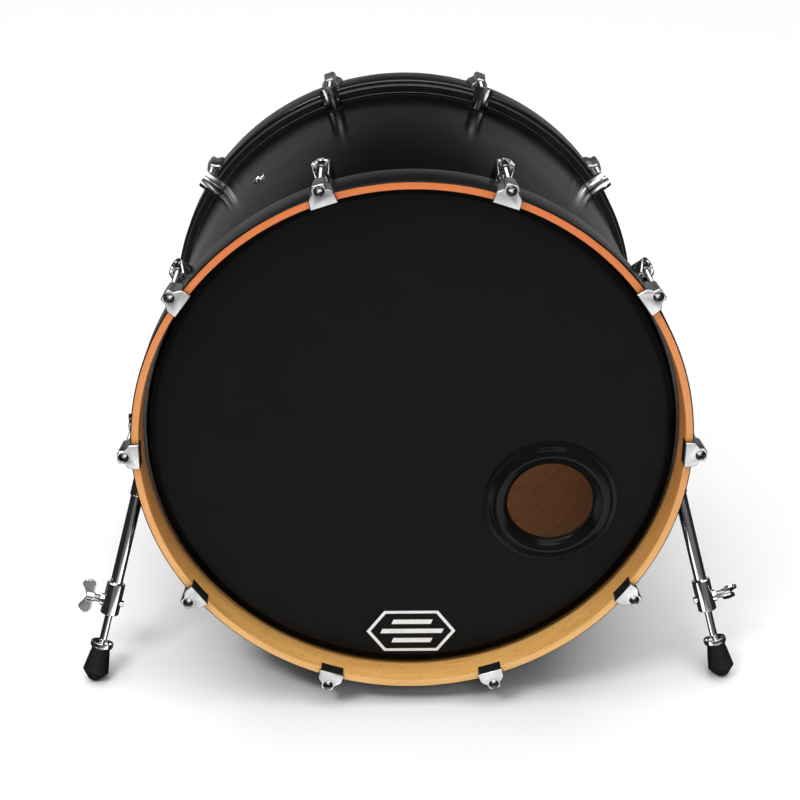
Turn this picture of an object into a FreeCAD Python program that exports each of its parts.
import FreeCAD, Part
import math
import os

# Bass drum, 22 x 16 inches, ten tension rods a side, standing on its two spurs and its batter hoop.
#
# Every piece is drawn in the drum's own frame, in millimetres: the origin is the centre of the front
# hoop's front face, +Y runs along the drum's axis to the batter side, +X is to the right seen from the
# front and +Z is up. to_stand() then leans the drum back on its spurs and puts it on the floor, with
# the part's origin under the middle of the drum.

V = FreeCAD.Vector
ORIGIN = V(0, 0, 0)
AXIS_X = V(1, 0, 0)
AXIS_Y = V(0, 1, 0)
AXIS_Z = V(0, 0, 1)

# Shell and hoops
SHELL_RADIUS = 279.0
SHELL_DEPTH = 406.0
SHELL_WALL = 7.5
EDGE_ROUND = 2.5
HOOP_GAP = 5.1
HOOP_THICKNESS = 8.7
HOOP_WIDTH = 43.0
HOOP_PROUD = 32.0
HOOP_ROUND = 2.0
DEPTH = SHELL_DEPTH + 2 * HOOP_PROUD

# Heads: film, its turned-down collar and the flesh hoop that it is cast into
FILM = 0.5
FILM_BEND = 3.4
FILM_TUCK = 7.0
FLESH_GAP = 0.3
FLESH_THICKNESS = 9.5
FLESH_WIDTH = 10.0
PORT_X = 150.0
PORT_Z = -75.0
PORT_BORE = 46.6
PORT_THROAT_WALL = 1.6
PORT_THROAT_DEPTH = 5.0
PORT_FLANGE_WIDTH = 25.4
PORT_CREST_WIDTH = 11.4
PORT_CREST_HEIGHT = 6.4
PORT_TAPE = 0.8
PORT_CLEARANCE = 0.3
VENT_ANGLE = -37.0
VENT_DEPTH = 247.0
VENT_BORE = 4.6
VENT_WALL = 0.8
VENT_FLANGE_WIDTH = 3.0
VENT_FLANGE_HEIGHT = 1.8

# Tensioning: rods, claws, lugs
RODS = 10
ROD_STANDOFF = 6.4
ROD_RADIUS = 2.8
ROD_FLANGE = 5.0
ROD_KEY = 6.0
ROD_KEY_LENGTH = 6.6
ROD_FLANGE_WIDTH = 2.2
ROD_CLEARANCE = 0.05
CLAW_HOLE_CLEARANCE = 0.4
WASHER = 1.0
WASHER_RADIUS = 5.4
CLAW_LIP = 4.0
LINER = 3.0
LINER_WRAP = 1.1
LINER_WRAP_DEPTH = 9.0
CLAW_LIP_OVERHANG = 1.3
CLAW_LENGTH = 31.0
CLAW_POCKET = 5.6
CLAW_POCKET_DEPTH = 15.0
CLAW_SADDLE_GAP = 0.2
CLAW_WIDE = (14.0, 12.2, 7.6)
CLAW_NARROW = (10.4, 9.2, 6.2)
CLAW_BEVEL = 0.8
CLAW_CORNER = 3.5
LINER_HALF = 12.6
LUG_GAP = 2.5
LUG_LENGTH = 29.5
LUG_HALF_NARROW = 8.0
LUG_HALF_WIDE = 11.5
LUG_TOP_NARROW = 17.0
LUG_TOP_WIDE = 28.0
LUG_WALL = 2.0
LUG_FLOOR = 3.5
LUG_BARREL = 5.8
LUG_BARREL_LENGTH = 19.0
LUG_WEB_HALF = 3.2
LUG_POST = 4.4
LUG_POST_HEIGHT = 5.0
NUT_RADIUS = 4.2
NUT_LENGTH = 14.0
GASKET = 1.0
SCREW_RADIUS = 2.0
SCREW_HEAD = 3.8
SCREW_HEAD_HEIGHT = 2.6
SCREW_WASHER = 5.0
SCREW_BITE = 8.5
SCREW_HOLE_CLEARANCE = 0.3
SCREW_SEAT_GAP = 0.1
SCREW_SLOT = 1.2
LUG_SCREW_NEAR = 6.0
LUG_SCREW_FAR = 8.5

# Spurs. Distances named "along" are measured down the leg from its pivot.
FLOOR_TILT = 3.2
SPUR_ANGLE = 103.2
SPUR_DEPTH = 128.0
SPUR_STANDOFF = 27.6
LEG_SPLAY = 15.0
LEG_RAKE = 17.6
FOLD_LIFT = 4.0
BRACKET_HALF_LENGTH = 34.0
BRACKET_HALF_WIDTH = 23.0
BRACKET_PLATE = 5.0
BRACKET_CORNER = 9.0
BRACKET_BOSS = 13.0
BRACKET_SCREW_X = 14.0
BRACKET_SCREW_Y = 26.0
PIVOT_HEAD = 12.5
PIVOT_SHOULDER = 0.4
PIVOT_GAP = 0.3
PIVOT_BOLT = 3.0
PIVOT_BOLT_CLEARANCE = 0.3
PIVOT_BOLT_HEAD = 5.2
PIVOT_BOLT_HEAD_HEIGHT = 3.2
PIVOT_BOLT_HEX = 2.9
PIVOT_SPOTFACE = 6.2
PIVOT_BOLT_BITE = 9.0
SOCKET_WALL = 1.4
SOCKET_END = 43.0
TUBE_RADIUS = 7.0
TUBE_START = 14.0
TUBE_IN_COLLAR = 12.5
INNER_ROD_RADIUS = 4.3
INNER_ROD_CLEARANCE = 0.1
INNER_ROD_INSERT = 90.0
INNER_ROD_SHOWING = 34.14
COLLAR_WALL = 3.5
COLLAR_LENGTH = 37.0
COLLAR_CHAMFER = 0.8
COLLAR_BOSS = 6.6
COLLAR_BOSS_HEIGHT = 2.4
COLLAR_STUD = 3.8
COLLAR_STUD_BORE = 1.9
COLLAR_STUD_BORE_DEPTH = 3.0
WING_IN_COLLAR = 22.5
WING_BOLT = 4.0
WING_TIP_GAP = 0.3
WING_HUB = 5.2
WING_NECK = 7.6
WING_HUB_LENGTH = 9.0
WING_SPAN = 19.0
WING_EAR_REACH = 16.0
WING_THICKNESS = 3.8
WING_ROLL = {"left": 5.0, "right": 55.0}
FOOT_LENGTH = 37.5
FOOT_TOP_RADIUS = 10.4
FOOT_WIDE_RADIUS = 14.9
FOOT_TIP_RADIUS = 6.2
FOOT_CONE = 10.5
SPIKE_RADIUS = 3.4
SPIKE_CLEARANCE = 0.05
SPIKE_TIP = 8.0
CUP_RADIUS = 12.9
CUP_HEIGHT = 7.5

# Worked out from the sizes above
HOOP_BORE = SHELL_RADIUS + HOOP_GAP
HOOP_RADIUS = HOOP_BORE + HOOP_THICKNESS
FLESH_BORE = SHELL_RADIUS + FLESH_GAP
FLESH_RADIUS = FLESH_BORE + FLESH_THICKNESS
ROD_CIRCLE = HOOP_RADIUS + ROD_STANDOFF
CLAW_LIP_RADIUS = HOOP_BORE - CLAW_LIP_OVERHANG
PORT_FLANGE = PORT_BORE + PORT_FLANGE_WIDTH
PORT_CREST = PORT_BORE + PORT_CREST_WIDTH
VENT_TUBE = VENT_BORE + VENT_WALL
VENT_FLANGE = VENT_TUBE + VENT_FLANGE_WIDTH
FILM_FRONT = HOOP_PROUD - FILM
EDGE_RADIUS = SHELL_RADIUS - EDGE_ROUND
CLAW_FACE = -(CLAW_LIP + LINER)
CLAW_END = CLAW_FACE + CLAW_LENGTH
WASHER_SEAT = CLAW_FACE + CLAW_POCKET_DEPTH
SADDLE_RADIUS = HOOP_RADIUS + CLAW_SADDLE_GAP
LUG_BASE = SHELL_RADIUS + GASKET
LUG_START = HOOP_WIDTH + FLESH_WIDTH + LUG_GAP
LUG_END = LUG_START + LUG_LENGTH
NUT_END = LUG_END - LUG_WALL
ROD_END = NUT_END - ROD_CLEARANCE
LUG_SCREWS_AT = (LUG_SCREW_NEAR, LUG_LENGTH - LUG_SCREW_FAR)
SOCKET_RADIUS = TUBE_RADIUS + SOCKET_WALL
COLLAR_RADIUS = TUBE_RADIUS + COLLAR_WALL
PIVOT_HALF = SOCKET_RADIUS + PIVOT_SHOULDER
WING_HUB_START = COLLAR_RADIUS + COLLAR_BOSS_HEIGHT + WING_NECK
WING_REACH = WING_HUB_START + WING_EAR_REACH
SHELL_BORE = SHELL_RADIUS - SHELL_WALL
EDGE_BEVEL = SHELL_WALL - EDGE_ROUND
TILT = math.radians(FLOOR_TILT)
HEEL_Y = DEPTH - HOOP_ROUND
HEEL_Z = HOOP_RADIUS - HOOP_ROUND
FLOOR_DROP = HEEL_Y * math.sin(TILT) + HEEL_Z * math.cos(TILT) + HOOP_ROUND
UP = V(0, -math.sin(TILT), math.cos(TILT))


# ---- general shapes -------------------------------------------------------------------------------

def line(start, end):
    return Part.LineSegment(start, end).toShape()


def arc(start, middle, end):
    return Part.Arc(start, middle, end).toShape()


def revolve(points, axis=AXIS_Y):
    """The solid that a closed outline of (radius, height) points sweeps round the axis."""
    corners = [V(radius, 0, 0) + axis * height for radius, height in points]
    return Part.Face(Part.makePolygon(corners + corners[:1])).revolve(ORIGIN, axis, 360)


def ring(inner, outer, front, back):
    """A plain ring about the drum's axis."""
    return revolve([(inner, front), (outer, front), (outer, back), (inner, back)])


def rod_along(radius, start, end, axis, centre=ORIGIN):
    """A round bar along axis, from start to end measured from the centre."""
    return Part.makeCylinder(radius, end - start, centre + axis * start, axis)


def slab(x0, x1, y0, y1, z0, z1):
    return Part.makeBox(x1 - x0, y1 - y0, z1 - z0, V(x0, y0, z0))


def turned(shape, degrees):
    """A copy carried round the drum's axis; a positive angle goes from the top towards +X."""
    copy = shape.copy()
    copy.rotate(ORIGIN, AXIS_Y, degrees)
    return copy


def to_batter_side(shape):
    """A copy mirrored from the front end of the drum to the batter end."""
    return shape.mirror(V(0, DEPTH / 2, 0), AXIS_Y)


def to_left(shape):
    return shape.mirror(ORIGIN, AXIS_X)


def rod_angles():
    """The rods' places round the drum, with the top and bottom midway between two rods."""
    step = 360.0 / RODS
    return [step * (i + 0.5) for i in range(RODS)]


def round_the_drum(shape):
    """One copy of a front-end piece at each rod."""
    return [turned(shape, angle) for angle in rod_angles()]


def on_both_ends(pieces):
    return pieces + [to_batter_side(piece) for piece in pieces]


def frame_at(origin, axis_x, axis_z):
    """The placement whose local x and z run along the two given perpendicular directions."""
    x = V(axis_x).normalize()
    z = V(axis_z).normalize()
    y = z.cross(x)
    rows = [[getattr(v, part) for v in (x, y, z, origin)] for part in ("x", "y", "z")]
    return FreeCAD.Placement(FreeCAD.Matrix(*rows[0], *rows[1], *rows[2], 0, 0, 0, 1))


def placed(shape, placement):
    copy = shape.copy()
    copy.Placement = placement.multiply(copy.Placement)
    return copy


def square_to(direction, axis):
    """The part of direction that is square to axis."""
    return (direction - axis * direction.dot(axis)).normalize()


# ---- shell, hoops and heads -----------------------------------------------------------------------

def radial(angle):
    """The direction square to the shell at an angle from the top."""
    return V(math.sin(math.radians(angle)), 0, math.cos(math.radians(angle)))


def shell_bore(radius, angle, depth):
    """A cutter through the shell's wall at one place."""
    return rod_along(radius, SHELL_BORE - 5, SHELL_RADIUS + 5, radial(angle), V(0, depth, 0))


def shell():
    """The wooden tube, with a 45 degree bearing edge inside and a round-over outside."""
    front = HOOP_PROUD
    back = DEPTH - HOOP_PROUD
    half = [
        (SHELL_BORE, front + EDGE_BEVEL),
        (EDGE_RADIUS, front),
        (SHELL_RADIUS, front + EDGE_ROUND),
        (SHELL_RADIUS, back - EDGE_ROUND),
        (EDGE_RADIUS, back),
        (SHELL_BORE, back - EDGE_BEVEL),
    ]
    holes = [shell_bore(VENT_TUBE, VENT_ANGLE, VENT_DEPTH)]
    screw_hole = SCREW_RADIUS + SCREW_HOLE_CLEARANCE
    for angle in rod_angles():
        for at in LUG_SCREWS_AT:
            holes.append(shell_bore(screw_hole, angle, LUG_START + at))
            holes.append(shell_bore(screw_hole, angle, DEPTH - LUG_START - at))
    for centre, direction in bracket_screw_places():
        cutter = rod_along(screw_hole, -5 - SHELL_WALL, 5, direction, centre)
        holes += [cutter, to_left(cutter)]
    return revolve(half).cut(holes)


def vent_grommet():
    """The eyelet that lets air out of the shell."""
    inside = SHELL_BORE - 1.2
    outside = SHELL_RADIUS + VENT_FLANGE_HEIGHT
    outline = [
        (VENT_BORE, inside),
        (VENT_TUBE + 1.6, inside),
        (VENT_TUBE, SHELL_BORE - 0.1),
        (VENT_TUBE, SHELL_RADIUS),
        (VENT_FLANGE, SHELL_RADIUS),
        (VENT_FLANGE, SHELL_RADIUS + 0.5),
        (VENT_FLANGE - 1.0, outside - 0.3),
        (VENT_FLANGE - 2.0, outside),
        (VENT_BORE + 0.8, outside - 0.2),
        (VENT_BORE, outside - 1.0),
    ]
    body = revolve(outline, AXIS_Z)
    body.translate(V(0, VENT_DEPTH, 0))
    return turned(body, VENT_ANGLE)


def hoop():
    """The bent-wood counterhoop, rounded on its outer edges."""
    plain = ring(HOOP_BORE, HOOP_RADIUS, 0, HOOP_WIDTH)
    outer = [e for e in plain.Edges if hasattr(e.Curve, "Radius") and e.Curve.Radius > HOOP_BORE + 1]
    inner = [e for e in plain.Edges if hasattr(e.Curve, "Radius") and e.Curve.Radius <= HOOP_BORE + 1]
    return plain.makeFillet(HOOP_ROUND, outer).makeFillet(HOOP_ROUND / 2, inner)


def film():
    """The head's flat film, out to where it starts to bend over the bearing edge."""
    return rod_along(EDGE_RADIUS, FILM_FRONT, HOOP_PROUD, AXIS_Y)


def film_collar():
    """The film's rim: bent down round the bearing edge and tucked into its hoop."""
    collar = EDGE_RADIUS + FILM_BEND
    tuck = HOOP_WIDTH + FILM_TUCK
    bend = HOOP_PROUD + FILM_BEND
    slant = math.sqrt(0.5)

    def bend_point(radius):
        return V(EDGE_RADIUS + radius * slant, bend - radius * slant, 0)

    outer = FILM_BEND + FILM
    edges = [
        line(V(EDGE_RADIUS, HOOP_PROUD, 0), V(EDGE_RADIUS, FILM_FRONT, 0)),
        arc(V(EDGE_RADIUS, FILM_FRONT, 0), bend_point(outer), V(collar + FILM, bend, 0)),
        line(V(collar + FILM, bend, 0), V(collar + FILM, tuck, 0)),
        line(V(collar + FILM, tuck, 0), V(collar, tuck, 0)),
        line(V(collar, tuck, 0), V(collar, bend, 0)),
        arc(V(collar, bend, 0), bend_point(FILM_BEND), V(EDGE_RADIUS, HOOP_PROUD, 0)),
    ]
    return Part.Face(Part.Wire(edges)).revolve(ORIGIN, AXIS_Y, 360)


def flesh_hoop():
    """The metal channel that grips the film's edge; the counterhoop presses on it."""
    channel = ring(FLESH_BORE, FLESH_RADIUS, HOOP_WIDTH, HOOP_WIDTH + FLESH_WIDTH)
    return channel.cut(film_collar())


def at_port(shape):
    shape.translate(V(PORT_X, 0, PORT_Z))
    return shape


def front_head():
    hole = PORT_BORE + PORT_THROAT_WALL + PORT_CLEARANCE
    return film().cut(at_port(rod_along(hole, 0, HOOP_WIDTH, AXIS_Y)))


def port_ring():
    """The moulded ring round the port, crowned in front and with a throat through the film."""
    back = FILM_FRONT - PORT_TAPE
    crest = back - PORT_CREST_HEIGHT
    rim = back - 1.0
    throat = HOOP_PROUD + PORT_THROAT_DEPTH
    outer = PORT_BORE + PORT_THROAT_WALL
    half = (PORT_FLANGE - PORT_CREST) / 2
    funnel = (PORT_CREST - PORT_BORE) / 2
    edges = [
        line(V(PORT_FLANGE, back, 0), V(PORT_FLANGE, rim, 0)),
        arc(V(PORT_FLANGE, rim, 0), V(PORT_CREST + half, crest + 1.6, 0), V(PORT_CREST, crest, 0)),
        arc(V(PORT_CREST, crest, 0), V(PORT_BORE + funnel - 1, crest + 1.9, 0), V(PORT_BORE, back, 0)),
        line(V(PORT_BORE, back, 0), V(PORT_BORE, throat, 0)),
        line(V(PORT_BORE, throat, 0), V(outer, throat, 0)),
        line(V(outer, throat, 0), V(outer, back, 0)),
        line(V(outer, back, 0), V(PORT_FLANGE, back, 0)),
    ]
    return at_port(Part.Face(Part.Wire(edges)).revolve(ORIGIN, AXIS_Y, 360))


def port_tape():
    """The ring of double-sided tape that holds the port ring on the film."""
    inner = PORT_BORE + PORT_THROAT_WALL + PORT_CLEARANCE
    return at_port(ring(inner + 1, PORT_FLANGE - 2, FILM_FRONT - PORT_TAPE, FILM_FRONT))


# ---- claws, rods and lugs, drawn at the top of the front end ---------------------------------------

def claw_section(depth, inset, widths, top):
    """The claw's outline across the drum at one depth: a wide foot, shoulders and a round head."""
    foot, shoulder, neck = widths
    corner = CLAW_CORNER - inset
    right = [
        V(foot - inset, depth, CLAW_LIP_RADIUS + inset),
        V(foot - inset - 0.4, depth, HOOP_RADIUS - 0.8),
        V(shoulder - inset, depth, HOOP_RADIUS + 2.4 - inset),
        V(neck - inset, depth, ROD_CIRCLE - 0.6),
        V(neck - inset - 0.3, depth, top - CLAW_CORNER),
    ]
    side = right[-1]
    crown = V(side.x - corner, depth, top - inset)
    slant = math.sqrt(0.5)
    bend = V(side.x - corner * (1 - slant), depth, top - CLAW_CORNER + corner * slant)
    flip = [V(-p.x, p.y, p.z) for p in right]
    crown_left = V(-crown.x, depth, crown.z)
    edges = [line(a, b) for a, b in zip(right, right[1:])]
    edges += [arc(side, bend, crown), line(crown, crown_left)]
    edges += [arc(crown_left, V(-bend.x, depth, bend.z), flip[-1])]
    edges += [line(a, b) for a, b in zip(flip[::-1], flip[-2::-1])]
    edges += [line(flip[0], right[0])]
    return Part.Wire(edges)


def claw():
    """The die-cast claw: its lip hooks the hoop's front and its head holds the rod in a pocket."""
    top = ROD_CIRCLE + CLAW_POCKET + 0.8
    body = Part.makeLoft([
        claw_section(CLAW_FACE, CLAW_BEVEL, CLAW_WIDE, top),
        claw_section(CLAW_FACE + CLAW_BEVEL, 0.0, CLAW_WIDE, top),
        claw_section(CLAW_END - 1.2, 0.0, CLAW_NARROW, top - 1.6),
        claw_section(CLAW_END, 1.2, CLAW_NARROW, top - 1.6),
    ], True, True)
    hoop_space = rod_along(SADDLE_RADIUS, -LINER, CLAW_END + 10, AXIS_Y)
    centre = V(0, 0, ROD_CIRCLE)
    pocket = rod_along(CLAW_POCKET, CLAW_FACE - 1, WASHER_SEAT, AXIS_Y, centre)
    hole = rod_along(ROD_RADIUS + CLAW_HOLE_CLEARANCE, CLAW_FACE, CLAW_END + 1, AXIS_Y, centre)
    return body.cut([hoop_space, pocket, hole])


def claw_liner():
    """The rubber pad between the claw's lip and the hoop; its tongue lies inside the hoop."""
    inner = HOOP_BORE - LINER_WRAP
    band = ring(inner, HOOP_RADIUS, -LINER, 0)
    tongue = ring(inner, HOOP_BORE, 0, LINER_WRAP_DEPTH)
    back = LINER_WRAP_DEPTH + 1
    window = slab(-LINER_HALF, LINER_HALF, -LINER - 1, back, inner - 20, HOOP_RADIUS + 5)
    return band.fuse(tongue).common(window).removeSplitter()


def tension_rod():
    """A drum-key rod: square head, flange and a shank that ends in the lug's nut."""
    seat = WASHER_SEAT - WASHER - 2 * ROD_CLEARANCE
    flange_top = seat - ROD_FLANGE_WIDTH
    centre = V(0, 0, ROD_CIRCLE)
    shank = rod_along(ROD_RADIUS, seat - 1, ROD_END, AXIS_Y, centre)
    flange = rod_along(ROD_FLANGE, flange_top, seat, AXIS_Y, centre)
    half = ROD_KEY / 2
    key_top = flange_top - ROD_KEY_LENGTH
    key = slab(-half, half, key_top, flange_top, ROD_CIRCLE - half, ROD_CIRCLE + half)
    return shank.fuse([flange, key]).removeSplitter()


def rod_washer():
    centre = V(0, 0, ROD_CIRCLE)
    body = rod_along(WASHER_RADIUS, WASHER_SEAT - WASHER, WASHER_SEAT, AXIS_Y, centre)
    return body.cut(rod_along(ROD_RADIUS + CLAW_HOLE_CLEARANCE, 0, CLAW_END, AXIS_Y, centre))


def lug_section(depth, half_width, top, bottom):
    """A lug's outline across the drum: upright sides that lean out a little, and a flat top."""
    corners = [
        V(half_width - 0.8, depth, bottom),
        V(half_width, depth, top - 1.2),
        V(half_width - 1.0, depth, top),
        V(1.0 - half_width, depth, top),
        V(-half_width, depth, top - 1.2),
        V(0.8 - half_width, depth, bottom),
    ]
    return Part.makePolygon(corners + corners[:1])


def lug_screw_cutters():
    depth = LUG_BASE + SCREW_BITE
    return [rod_along(SCREW_RADIUS, 0, depth, AXIS_Z, V(0, LUG_START + at, 0)) for at in LUG_SCREWS_AT]


def lug_plan(inset):
    """An upright prism with the lug's plan: straight at the rod's side and half round at the other."""
    radius = LUG_HALF_WIDE - inset
    centre = LUG_END - LUG_HALF_WIDE
    low = SHELL_BORE
    high = SHELL_RADIUS + 2 * LUG_TOP_WIDE
    block = slab(-2 * radius, 2 * radius, LUG_START - 5, centre, low, high)
    return block.fuse(rod_along(radius, low, high, AXIS_Z, V(0, centre, 0)))


def lug():
    """The lug's chrome casting: a flared box, open at the rod's side, round the nut's barrel."""
    low = SHELL_RADIUS - 2
    narrow_top = SHELL_RADIUS + LUG_TOP_NARROW
    wide_top = SHELL_RADIUS + LUG_TOP_WIDE
    outer = Part.makeLoft([
        lug_section(LUG_START, LUG_HALF_NARROW, narrow_top, low),
        lug_section(LUG_END, LUG_HALF_WIDE + 1, wide_top, low),
    ], True, True).common(lug_plan(0))
    floor = LUG_BASE + LUG_FLOOR
    cavity = Part.makeLoft([
        lug_section(LUG_START - 1, LUG_HALF_NARROW - LUG_WALL, narrow_top + 9, floor),
        lug_section(LUG_END, LUG_HALF_WIDE + 1 - LUG_WALL, wide_top + 9, floor),
    ], True, True).common(lug_plan(LUG_WALL))
    centre = V(0, 0, ROD_CIRCLE)
    barrel_start = LUG_END - LUG_BARREL_LENGTH
    barrel_end = LUG_END - LUG_WALL / 2
    barrel = rod_along(LUG_BARREL, barrel_start, barrel_end, AXIS_Y, centre)
    web = slab(-LUG_WEB_HALF, LUG_WEB_HALF, barrel_start + 1, barrel_end, floor - 1, ROD_CIRCLE)
    post_top = floor + LUG_POST_HEIGHT
    post = rod_along(LUG_POST, floor - 1, post_top, AXIS_Z, V(0, LUG_START + LUG_SCREWS_AT[0], 0))
    nut_space = rod_along(NUT_RADIUS, barrel_start - 1, NUT_END, AXIS_Y, centre)
    body = outer.cut(cavity).fuse([barrel, web, post])
    shell_space = rod_along(LUG_BASE, LUG_START - 5, LUG_END + 5, AXIS_Y)
    return body.cut([shell_space, nut_space] + lug_screw_cutters()).removeSplitter()


def swivel_nut():
    centre = V(0, 0, ROD_CIRCLE)
    body = rod_along(NUT_RADIUS, NUT_END - NUT_LENGTH, NUT_END, AXIS_Y, centre)
    return body.cut(rod_along(ROD_RADIUS + ROD_CLEARANCE, 0, LUG_END, AXIS_Y, centre))


def lug_gasket():
    """The thin pad that keeps the casting off the lacquer."""
    band = ring(SHELL_RADIUS, LUG_BASE, LUG_START - 0.8, LUG_END + 0.8)
    pad = Part.makeLoft([
        lug_section(LUG_START - 0.8, LUG_HALF_NARROW, LUG_BASE + 5, SHELL_BORE),
        lug_section(LUG_END + 0.8, LUG_HALF_WIDE + 1, LUG_BASE + 5, SHELL_BORE),
    ], True, True).common(lug_plan(-0.8))
    return band.common(pad).cut(lug_screw_cutters())


def seated_screw(bite):
    """A screw along +Z from inside the shell: its head, then a shank through the wall."""
    seat = SHELL_BORE - SCREW_SEAT_GAP - WASHER
    shank = rod_along(SCREW_RADIUS, seat - 1, SHELL_RADIUS + bite, AXIS_Z)
    head = rod_along(SCREW_HEAD, seat - SCREW_HEAD_HEIGHT, seat, AXIS_Z)
    half = SCREW_SLOT / 2
    top = seat - SCREW_HEAD_HEIGHT
    slot = slab(-half, half, -SCREW_HEAD, SCREW_HEAD, top - 1, top + 1)
    return shank.fuse(head).removeSplitter().cut(slot)


def seated_washer():
    seat = SHELL_BORE - SCREW_SEAT_GAP
    disc = rod_along(SCREW_WASHER, seat - WASHER, seat, AXIS_Z)
    return disc.cut(rod_along(SCREW_RADIUS, 0, seat + 1, AXIS_Z))


def at_lug_screws(piece):
    """Copies of a screw or washer at both screw places of one lug."""
    copies = []
    for at in LUG_SCREWS_AT:
        copy = piece.copy()
        copy.translate(V(0, LUG_START + at, 0))
        copies.append(copy)
    return copies


# ---- right-hand spur; the left one is its mirror image ---------------------------------------------

def leg_direction():
    return V(math.tan(math.radians(LEG_SPLAY)), -math.tan(math.radians(LEG_RAKE)), -1).normalize()


def folded_direction():
    """Back along the shell towards the batter side, lifted a little off it."""
    lift = math.radians(FOLD_LIFT)
    return AXIS_Y * math.cos(lift) + radial(SPUR_ANGLE) * math.sin(lift)


def pivot_point():
    return radial(SPUR_ANGLE) * (SHELL_RADIUS + SPUR_STANDOFF) + V(0, SPUR_DEPTH, 0)


def pivot_axis():
    """The direction, nearest to square-on to the shell, that the leg turns about to fold."""
    swing = (leg_direction() - folded_direction()).normalize()
    return square_to(radial(SPUR_ANGLE), swing)


def fold_angle():
    """Degrees from the standing to the folded place; positive turns right-handed about pivot_axis()."""
    axis = pivot_axis()
    start = square_to(leg_direction(), axis)
    end = square_to(folded_direction(), axis)
    return math.degrees(math.atan2(axis.dot(start.cross(end)), start.dot(end)))


def foot_end():
    """How far down the leg its rubber tip ends, so that its edge just reaches the floor."""
    cosine = -leg_direction().dot(UP)
    sine = math.sqrt(1 - cosine * cosine)
    height = pivot_point().dot(UP) + FLOOR_DROP
    return (height - FOOT_TIP_RADIUS * sine) / cosine


def collar_start():
    """The collar's top end, set so that the named length of inner rod shows below it."""
    return foot_end() - FOOT_LENGTH - CUP_HEIGHT - INNER_ROD_SHOWING - COLLAR_LENGTH


def tube_end():
    return collar_start() + TUBE_IN_COLLAR


def wing_along():
    return collar_start() + WING_IN_COLLAR


def leg_frame():
    """Local z runs down the leg from the pivot, and local x points outwards."""
    down = leg_direction()
    return frame_at(pivot_point(), square_to(AXIS_X, down), down)


def pivot_frame():
    """Local z runs out along the pivot, and local x lies along the standing leg."""
    axis = pivot_axis()
    return frame_at(pivot_point(), square_to(leg_direction(), axis), axis)


def bracket_frame():
    """Local z is square to the shell at the bracket, and local y runs along the drum."""
    out = radial(SPUR_ANGLE)
    return frame_at(V(0, SPUR_DEPTH, 0), AXIS_Y.cross(out), out)


def bracket_screw_places():
    """Where each bracket screw crosses the shell's outer face, with its direction."""
    frame = bracket_frame()
    places = []
    for x in (-BRACKET_SCREW_X, BRACKET_SCREW_X):
        for y in (-BRACKET_SCREW_Y, BRACKET_SCREW_Y):
            lean = math.degrees(math.asin(x / SHELL_RADIUS))
            out = frame.Rotation.multVec(radial(lean))
            places.append((out * SHELL_RADIUS + V(0, SPUR_DEPTH + y, 0), out))
    return places


def bracket_outline(grow):
    """A rounded rectangle prism square to the shell, which trims the bracket and its gasket."""
    x = BRACKET_HALF_WIDTH + grow
    y = BRACKET_HALF_LENGTH + grow
    block = slab(-x, x, -y, y, SHELL_BORE, SHELL_RADIUS + SPUR_STANDOFF)
    upright = [e for e in block.Edges if abs(e.tangentAt(e.FirstParameter).z) > 0.9]
    return placed(block.makeFillet(BRACKET_CORNER + grow, upright), bracket_frame())


def bracket_screw_cutters():
    places = bracket_screw_places()
    return [rod_along(SCREW_RADIUS, -20, GASKET + SCREW_BITE, out, centre) for centre, out in places]


def spur_bracket():
    """The casting on the shell: a curved plate with a slanted boss whose face carries the pivot."""
    base = SHELL_RADIUS + GASKET
    front = SPUR_DEPTH - BRACKET_HALF_LENGTH - 5
    back = SPUR_DEPTH + BRACKET_HALF_LENGTH + 5
    plate = ring(base, base + BRACKET_PLATE, front, back).common(bracket_outline(0))
    face = -PIVOT_HALF - PIVOT_GAP
    height = SPUR_STANDOFF - PIVOT_HALF
    taper = Part.makeCone(BRACKET_BOSS + 4, BRACKET_BOSS, height, V(0, 0, face - height), AXIS_Z)
    boss = placed(taper, pivot_frame())
    bolt_end = face - PIVOT_BOLT_BITE - 0.5
    bore = placed(rod_along(PIVOT_BOLT + ROD_CLEARANCE, bolt_end, face + 1, AXIS_Z), pivot_frame())
    shell_space = rod_along(base, front - 20, back + 20, AXIS_Y)
    body = plate.fuse(boss).cut([shell_space, bore] + bracket_screw_cutters())
    return body.removeSplitter()


def bracket_gasket():
    front = SPUR_DEPTH - BRACKET_HALF_LENGTH - 5
    back = SPUR_DEPTH + BRACKET_HALF_LENGTH + 5
    pad = ring(SHELL_RADIUS, SHELL_RADIUS + GASKET, front, back).common(bracket_outline(0.8))
    return pad.cut(bracket_screw_cutters())


def at_bracket_screws(piece):
    """Copies of a screw or washer on both brackets, each square to the wall where it crosses it."""
    copies = []
    for centre, out in bracket_screw_places():
        frame = frame_at(centre - out * SHELL_RADIUS, AXIS_Y.cross(out), out)
        copy = placed(piece, frame)
        copies.extend([copy, to_left(copy)])
    return copies


def pivot_socket():
    """The swivelling casting: a round head on the pivot and a barrel that grips the outer tube."""
    head = placed(rod_along(PIVOT_HEAD, -PIVOT_HALF, PIVOT_HALF, AXIS_Z), pivot_frame())
    barrel = placed(rod_along(SOCKET_RADIUS, 0, SOCKET_END, AXIS_Z), leg_frame())
    tube_space = placed(rod_along(TUBE_RADIUS, TUBE_START, SOCKET_END + 1, AXIS_Z), leg_frame())
    reach = PIVOT_HALF + 2
    bolt_bore = PIVOT_BOLT + PIVOT_BOLT_CLEARANCE
    bolt_space = placed(rod_along(bolt_bore, -reach, reach, AXIS_Z), pivot_frame())
    clear = PIVOT_HALF + SOCKET_RADIUS
    spotface = placed(rod_along(PIVOT_SPOTFACE, PIVOT_HALF, clear, AXIS_Z), pivot_frame())
    return head.fuse(barrel).cut([tube_space, bolt_space, spotface]).removeSplitter()


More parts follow.
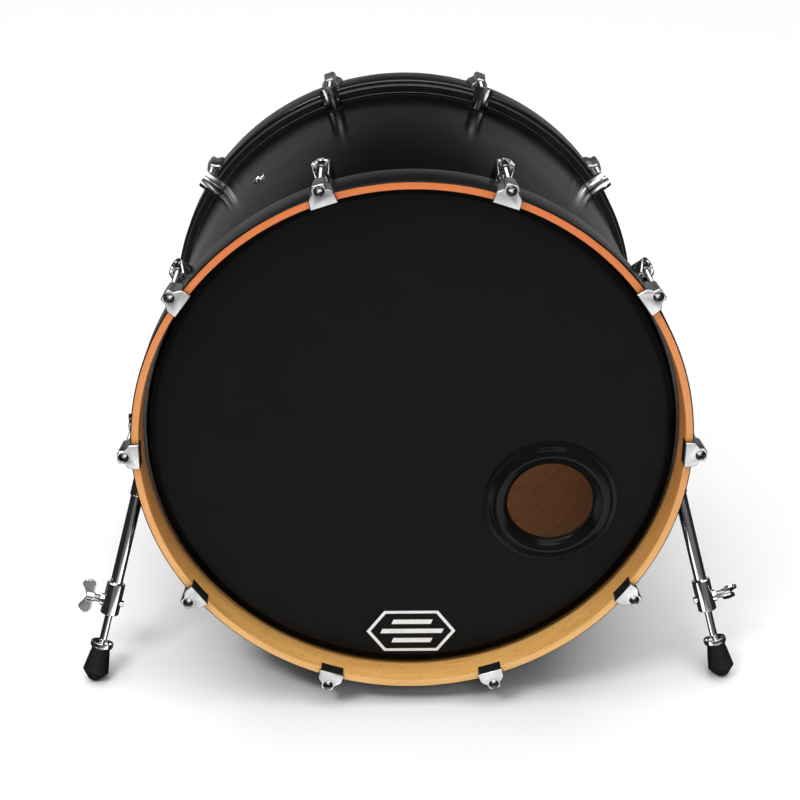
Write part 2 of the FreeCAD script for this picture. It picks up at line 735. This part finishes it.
def pivot_bolt():
    """The hex-socket bolt that clamps the socket's head to the bracket's boss."""
    seat = PIVOT_HALF + PIVOT_GAP
    tip = -PIVOT_HALF - PIVOT_GAP - PIVOT_BOLT_BITE
    shank = rod_along(PIVOT_BOLT, tip, seat + 1, AXIS_Z)
    head = rod_along(PIVOT_BOLT_HEAD, seat, seat + PIVOT_BOLT_HEAD_HEIGHT, AXIS_Z)
    turns = [math.radians(60 * i) for i in range(7)]
    corners = [V(PIVOT_BOLT_HEX * math.cos(a), PIVOT_BOLT_HEX * math.sin(a), seat + 1) for a in turns]
    hexagon = Part.Face(Part.makePolygon(corners)).extrude(AXIS_Z * PIVOT_BOLT_HEAD_HEIGHT)
    return placed(shank.fuse(head).removeSplitter().cut(hexagon), pivot_frame())


def spur_tube():
    body = rod_along(TUBE_RADIUS, TUBE_START, tube_end(), AXIS_Z)
    bore = rod_along(INNER_ROD_RADIUS + INNER_ROD_CLEARANCE, TUBE_START - 1, tube_end() + 1, AXIS_Z)
    return placed(body.cut(bore), leg_frame())


def spur_collar():
    """The clamp collar at the tube's end, with a threaded boss outside and a stud inside."""
    start = collar_start()
    end = start + COLLAR_LENGTH
    outline = [
        (0, start),
        (COLLAR_RADIUS - COLLAR_CHAMFER, start),
        (COLLAR_RADIUS, start + COLLAR_CHAMFER),
        (COLLAR_RADIUS, end - COLLAR_CHAMFER),
        (COLLAR_RADIUS - COLLAR_CHAMFER, end),
        (0, end),
    ]
    along = V(0, 0, wing_along())
    boss_end = COLLAR_RADIUS + COLLAR_BOSS_HEIGHT
    boss = rod_along(COLLAR_BOSS, 0, boss_end, AXIS_X, along)
    stud = rod_along(COLLAR_STUD, -boss_end, 0, AXIS_X, along)
    tube_space = rod_along(TUBE_RADIUS, start - 1, tube_end(), AXIS_Z)
    bore = rod_along(INNER_ROD_RADIUS + INNER_ROD_CLEARANCE, start, end + 1, AXIS_Z)
    thread = rod_along(WING_BOLT + ROD_CLEARANCE, 0, boss_end + 1, AXIS_X, along)
    pit = rod_along(COLLAR_STUD_BORE, -boss_end - 1, COLLAR_STUD_BORE_DEPTH - boss_end, AXIS_X, along)
    body = revolve(outline, AXIS_Z).fuse([boss, stud]).cut([tube_space, bore, thread, pit])
    return placed(body.removeSplitter(), leg_frame())


def wing_lobe():
    """One ear of the wing bolt in the x-z plane, reaching towards +z from the hub."""
    start = WING_HUB_START
    tip = WING_REACH
    points = {
        "root_near": V(start + 1.0, 0, 0),
        "side_near": V(start + 1.5, 0, WING_SPAN * 0.62),
        "ear": V(start + 4.2, 0, WING_SPAN),
        "tip_near": V(tip - 4.0, 0, WING_SPAN - 0.6),
        "tip": V(tip, 0, WING_SPAN - 5.0),
        "tip_far": V(tip - 2.6, 0, WING_SPAN - 10.0),
        "root_far": V(start + WING_HUB_LENGTH, 0, 0),
    }
    edges = [
        line(points["root_far"], points["root_near"]),
        line(points["root_near"], points["side_near"]),
        arc(points["side_near"], points["ear"], points["tip_near"]),
        arc(points["tip_near"], points["tip"], points["tip_far"]),
        line(points["tip_far"], points["root_far"]),
    ]
    face = Part.Face(Part.Wire(edges))
    face.translate(V(0, -WING_THICKNESS / 2, 0))
    return face.extrude(AXIS_Y * WING_THICKNESS)


def wing_bolt(side):
    """The clamp's wing bolt along local x; its tip stops just short of the inner rod."""
    tip = INNER_ROD_RADIUS + WING_TIP_GAP
    shank = rod_along(WING_BOLT, tip, WING_HUB_START + 1, AXIS_X)
    hub = rod_along(WING_HUB, WING_HUB_START, WING_HUB_START + WING_HUB_LENGTH, AXIS_X)
    lobe = wing_lobe()
    body = shank.fuse([hub, lobe, lobe.mirror(ORIGIN, AXIS_Z)]).removeSplitter()
    body.rotate(ORIGIN, AXIS_X, WING_ROLL[side])
    body.translate(V(0, 0, wing_along()))
    return placed(body, leg_frame())


def inner_rod():
    """The telescoping rod: plain in the tube, thinner in the foot, with a floor spike at its end."""
    foot_top = foot_end() - FOOT_LENGTH
    shoulder = foot_top - CUP_HEIGHT
    tip = foot_end() - SPIKE_TIP
    top = tube_end() - INNER_ROD_INSERT
    outline = [
        (0, top),
        (INNER_ROD_RADIUS, top),
        (INNER_ROD_RADIUS, shoulder),
        (SPIKE_RADIUS, shoulder + 1),
        (SPIKE_RADIUS, tip - 9),
        (0.6, tip),
        (0, tip),
    ]
    return placed(revolve(outline, AXIS_Z), leg_frame())


def foot_cup():
    """The dished lock nut that sits on the rubber foot."""
    base = foot_end() - FOOT_LENGTH
    top = base - CUP_HEIGHT
    bore = SPIKE_RADIUS + SPIKE_CLEARANCE
    hub = INNER_ROD_RADIUS + 2.4
    outline = [
        (bore, top + 3.2),
        (hub, top + 3.2),
        (hub + 0.6, top + 4.6),
        (CUP_RADIUS - 2.6, top + 4.6),
        (CUP_RADIUS - 1.2, top),
        (CUP_RADIUS, top),
        (CUP_RADIUS, top + 5.0),
        (CUP_RADIUS - 1.6, base),
        (bore, base),
    ]
    return placed(revolve(outline, AXIS_Z), leg_frame())


def rubber_foot():
    """The rubber boot screwed over the spike, flared and then coned in to a flat tip."""
    end = foot_end()
    bore = SPIKE_RADIUS + SPIKE_CLEARANCE
    outline = [
        (bore, end - FOOT_LENGTH),
        (FOOT_TOP_RADIUS, end - FOOT_LENGTH),
        (FOOT_WIDE_RADIUS, end - FOOT_CONE),
        (FOOT_TIP_RADIUS, end),
        (0, end),
        (0, end - SPIKE_TIP + 1.5),
        (bore, end - SPIKE_TIP + 1.5),
    ]
    return placed(revolve(outline, AXIS_Z), leg_frame())


# ---- the whole drum -------------------------------------------------------------------------------

def to_stand(shape):
    """A copy leaned back on the spurs: the floor at z = 0, the origin under the drum's middle."""
    copy = shape.copy()
    copy.rotate(ORIGIN, AXIS_X, -FLOOR_TILT)
    copy.translate(V(0, -DEPTH / 2 * math.cos(TILT), FLOOR_DROP))
    return copy


def drum_nodes():
    """Everything on the drum that does not move, by node name."""
    claws = round_the_drum(claw())
    lugs = round_the_drum(lug())
    lug_screw = seated_screw(GASKET + SCREW_BITE - 1)
    screws = [piece for screw in at_lug_screws(lug_screw) for piece in round_the_drum(screw)]
    washers = [piece for washer in at_lug_screws(seated_washer()) for piece in round_the_drum(washer)]
    front_hoop = hoop()
    front_flesh = flesh_hoop()
    front_collar = film_collar()
    bracket = spur_bracket()
    gasket = bracket_gasket()
    bracket_screw = seated_screw(GASKET + BRACKET_PLATE - 1)
    return {
        "shell": [shell()],
        "vent_grommet": [vent_grommet()],
        "front_hoop": [front_hoop],
        "batter_hoop": [to_batter_side(front_hoop)],
        "front_head": [front_head()],
        "front_head_collar": [front_collar],
        "batter_head": [to_batter_side(film())],
        "batter_head_collar": [to_batter_side(front_collar)],
        "front_flesh_hoop": [front_flesh],
        "batter_flesh_hoop": [to_batter_side(front_flesh)],
        "port_ring": [port_ring()],
        "port_tape": [port_tape()],
        "front_claws": claws,
        "batter_claws": [to_batter_side(piece) for piece in claws],
        "claw_liners": on_both_ends(round_the_drum(claw_liner())),
        "rod_washers": on_both_ends(round_the_drum(rod_washer())),
        "front_lugs": lugs,
        "batter_lugs": [to_batter_side(piece) for piece in lugs],
        "swivel_nuts": on_both_ends(round_the_drum(swivel_nut())),
        "spur_bracket_right": [bracket],
        "spur_bracket_left": [to_left(bracket)],
        "wall_gaskets": on_both_ends(round_the_drum(lug_gasket())) + [gasket, to_left(gasket)],
        "wall_screws": on_both_ends(screws) + at_bracket_screws(bracket_screw),
        "wall_screw_washers": on_both_ends(washers) + at_bracket_screws(seated_washer()),
    }


def rod_nodes():
    """One node for each tension rod, numbered clockwise from the top as seen from the front."""
    nodes = {}
    for number, rod in enumerate(round_the_drum(tension_rod()), start=1):
        nodes[f"front_rod_{number:02d}"] = [rod]
        nodes[f"batter_rod_{number:02d}"] = [to_batter_side(rod)]
    return nodes


def spur_nodes():
    """The moving pieces of both spurs."""
    nodes = {}
    for side in ("right", "left"):
        pieces = {
            "spur_socket": pivot_socket(),
            "spur_pivot_bolt": pivot_bolt(),
            "spur_tube": spur_tube(),
            "spur_collar": spur_collar(),
            "spur_wing_bolt": wing_bolt(side),
            "spur_inner_rod": inner_rod(),
            "spur_foot_cup": foot_cup(),
            "spur_rubber_foot": rubber_foot(),
        }
        for name, piece in pieces.items():
            nodes[f"{name}_{side}"] = [piece if side == "right" else to_left(piece)]
    return nodes


def main():
    os.makedirs("parts", exist_ok=True)
    nodes = {**drum_nodes(), **rod_nodes(), **spur_nodes()}
    for name, pieces in nodes.items():
        solids = [solid for piece in pieces for solid in to_stand(piece).Solids]
        shape = solids[0] if len(solids) == 1 else Part.makeCompound(solids)
        shape.exportStep(f"parts/{name}.step")


main()
